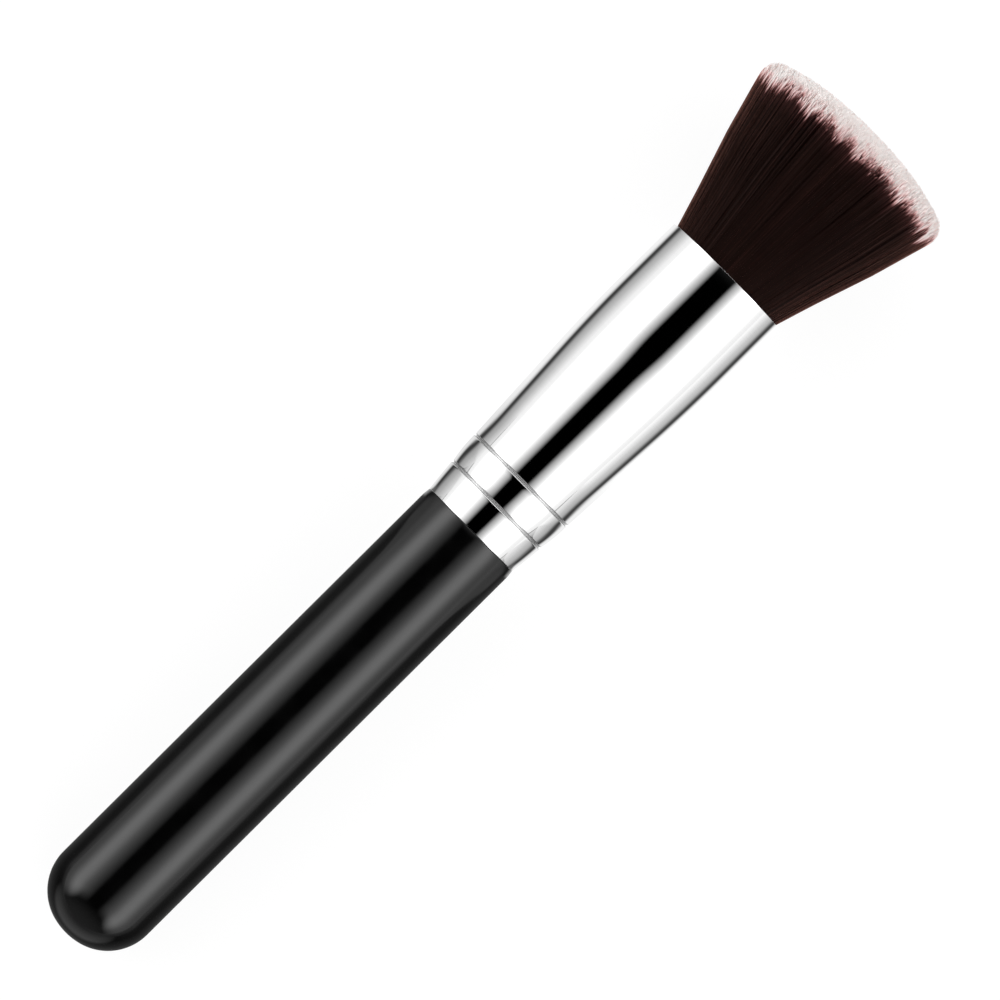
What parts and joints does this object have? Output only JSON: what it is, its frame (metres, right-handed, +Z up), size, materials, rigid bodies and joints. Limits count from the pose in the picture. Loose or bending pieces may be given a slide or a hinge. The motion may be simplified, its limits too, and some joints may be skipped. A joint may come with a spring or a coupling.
{
  "type": "flat top makeup brush",
  "caption": "Flat top makeup brush lying on its side: round handle with a domed end, flared tubular ferrule with rolled grooves, and a dense flaring head of bristles with a softly domed top.",
  "frame": {"origin": "middle of the brush's length, on the ground under it: the bottom centre of the whole brush's box, level with the lowest point of the head's widest part", "axes": "+X along the brush's own axis, from the handle's domed end to the crown of the bristles; +Z up; +Y completes a right-handed frame. The brush is turned, so any direction round its axis is alike"},
  "size_m": [0.145, 0.0312, 0.0312],
  "materials": {
    "lacquered_wood": "smooth black lacquer with a satin gloss",
    "polished_aluminium": "bright polished, with rolled grooves",
    "filament": "fine synthetic filament, dark brown with pale rose-white tips",
    "cotton_thread": "waxed cotton thread",
    "cured_epoxy": "clear amber cured epoxy",
    "wood_glue": "cured cream-coloured adhesive"
  },
  "bodies": {
    "root": {"handle": "lacquered_wood", "ferrule": "polished_aluminium", "bristles": "filament", "tie_thread": "cotton_thread", "root_glue": "cured_epoxy", "tenon_glue": "wood_glue"}
  },
  "joints": []
}
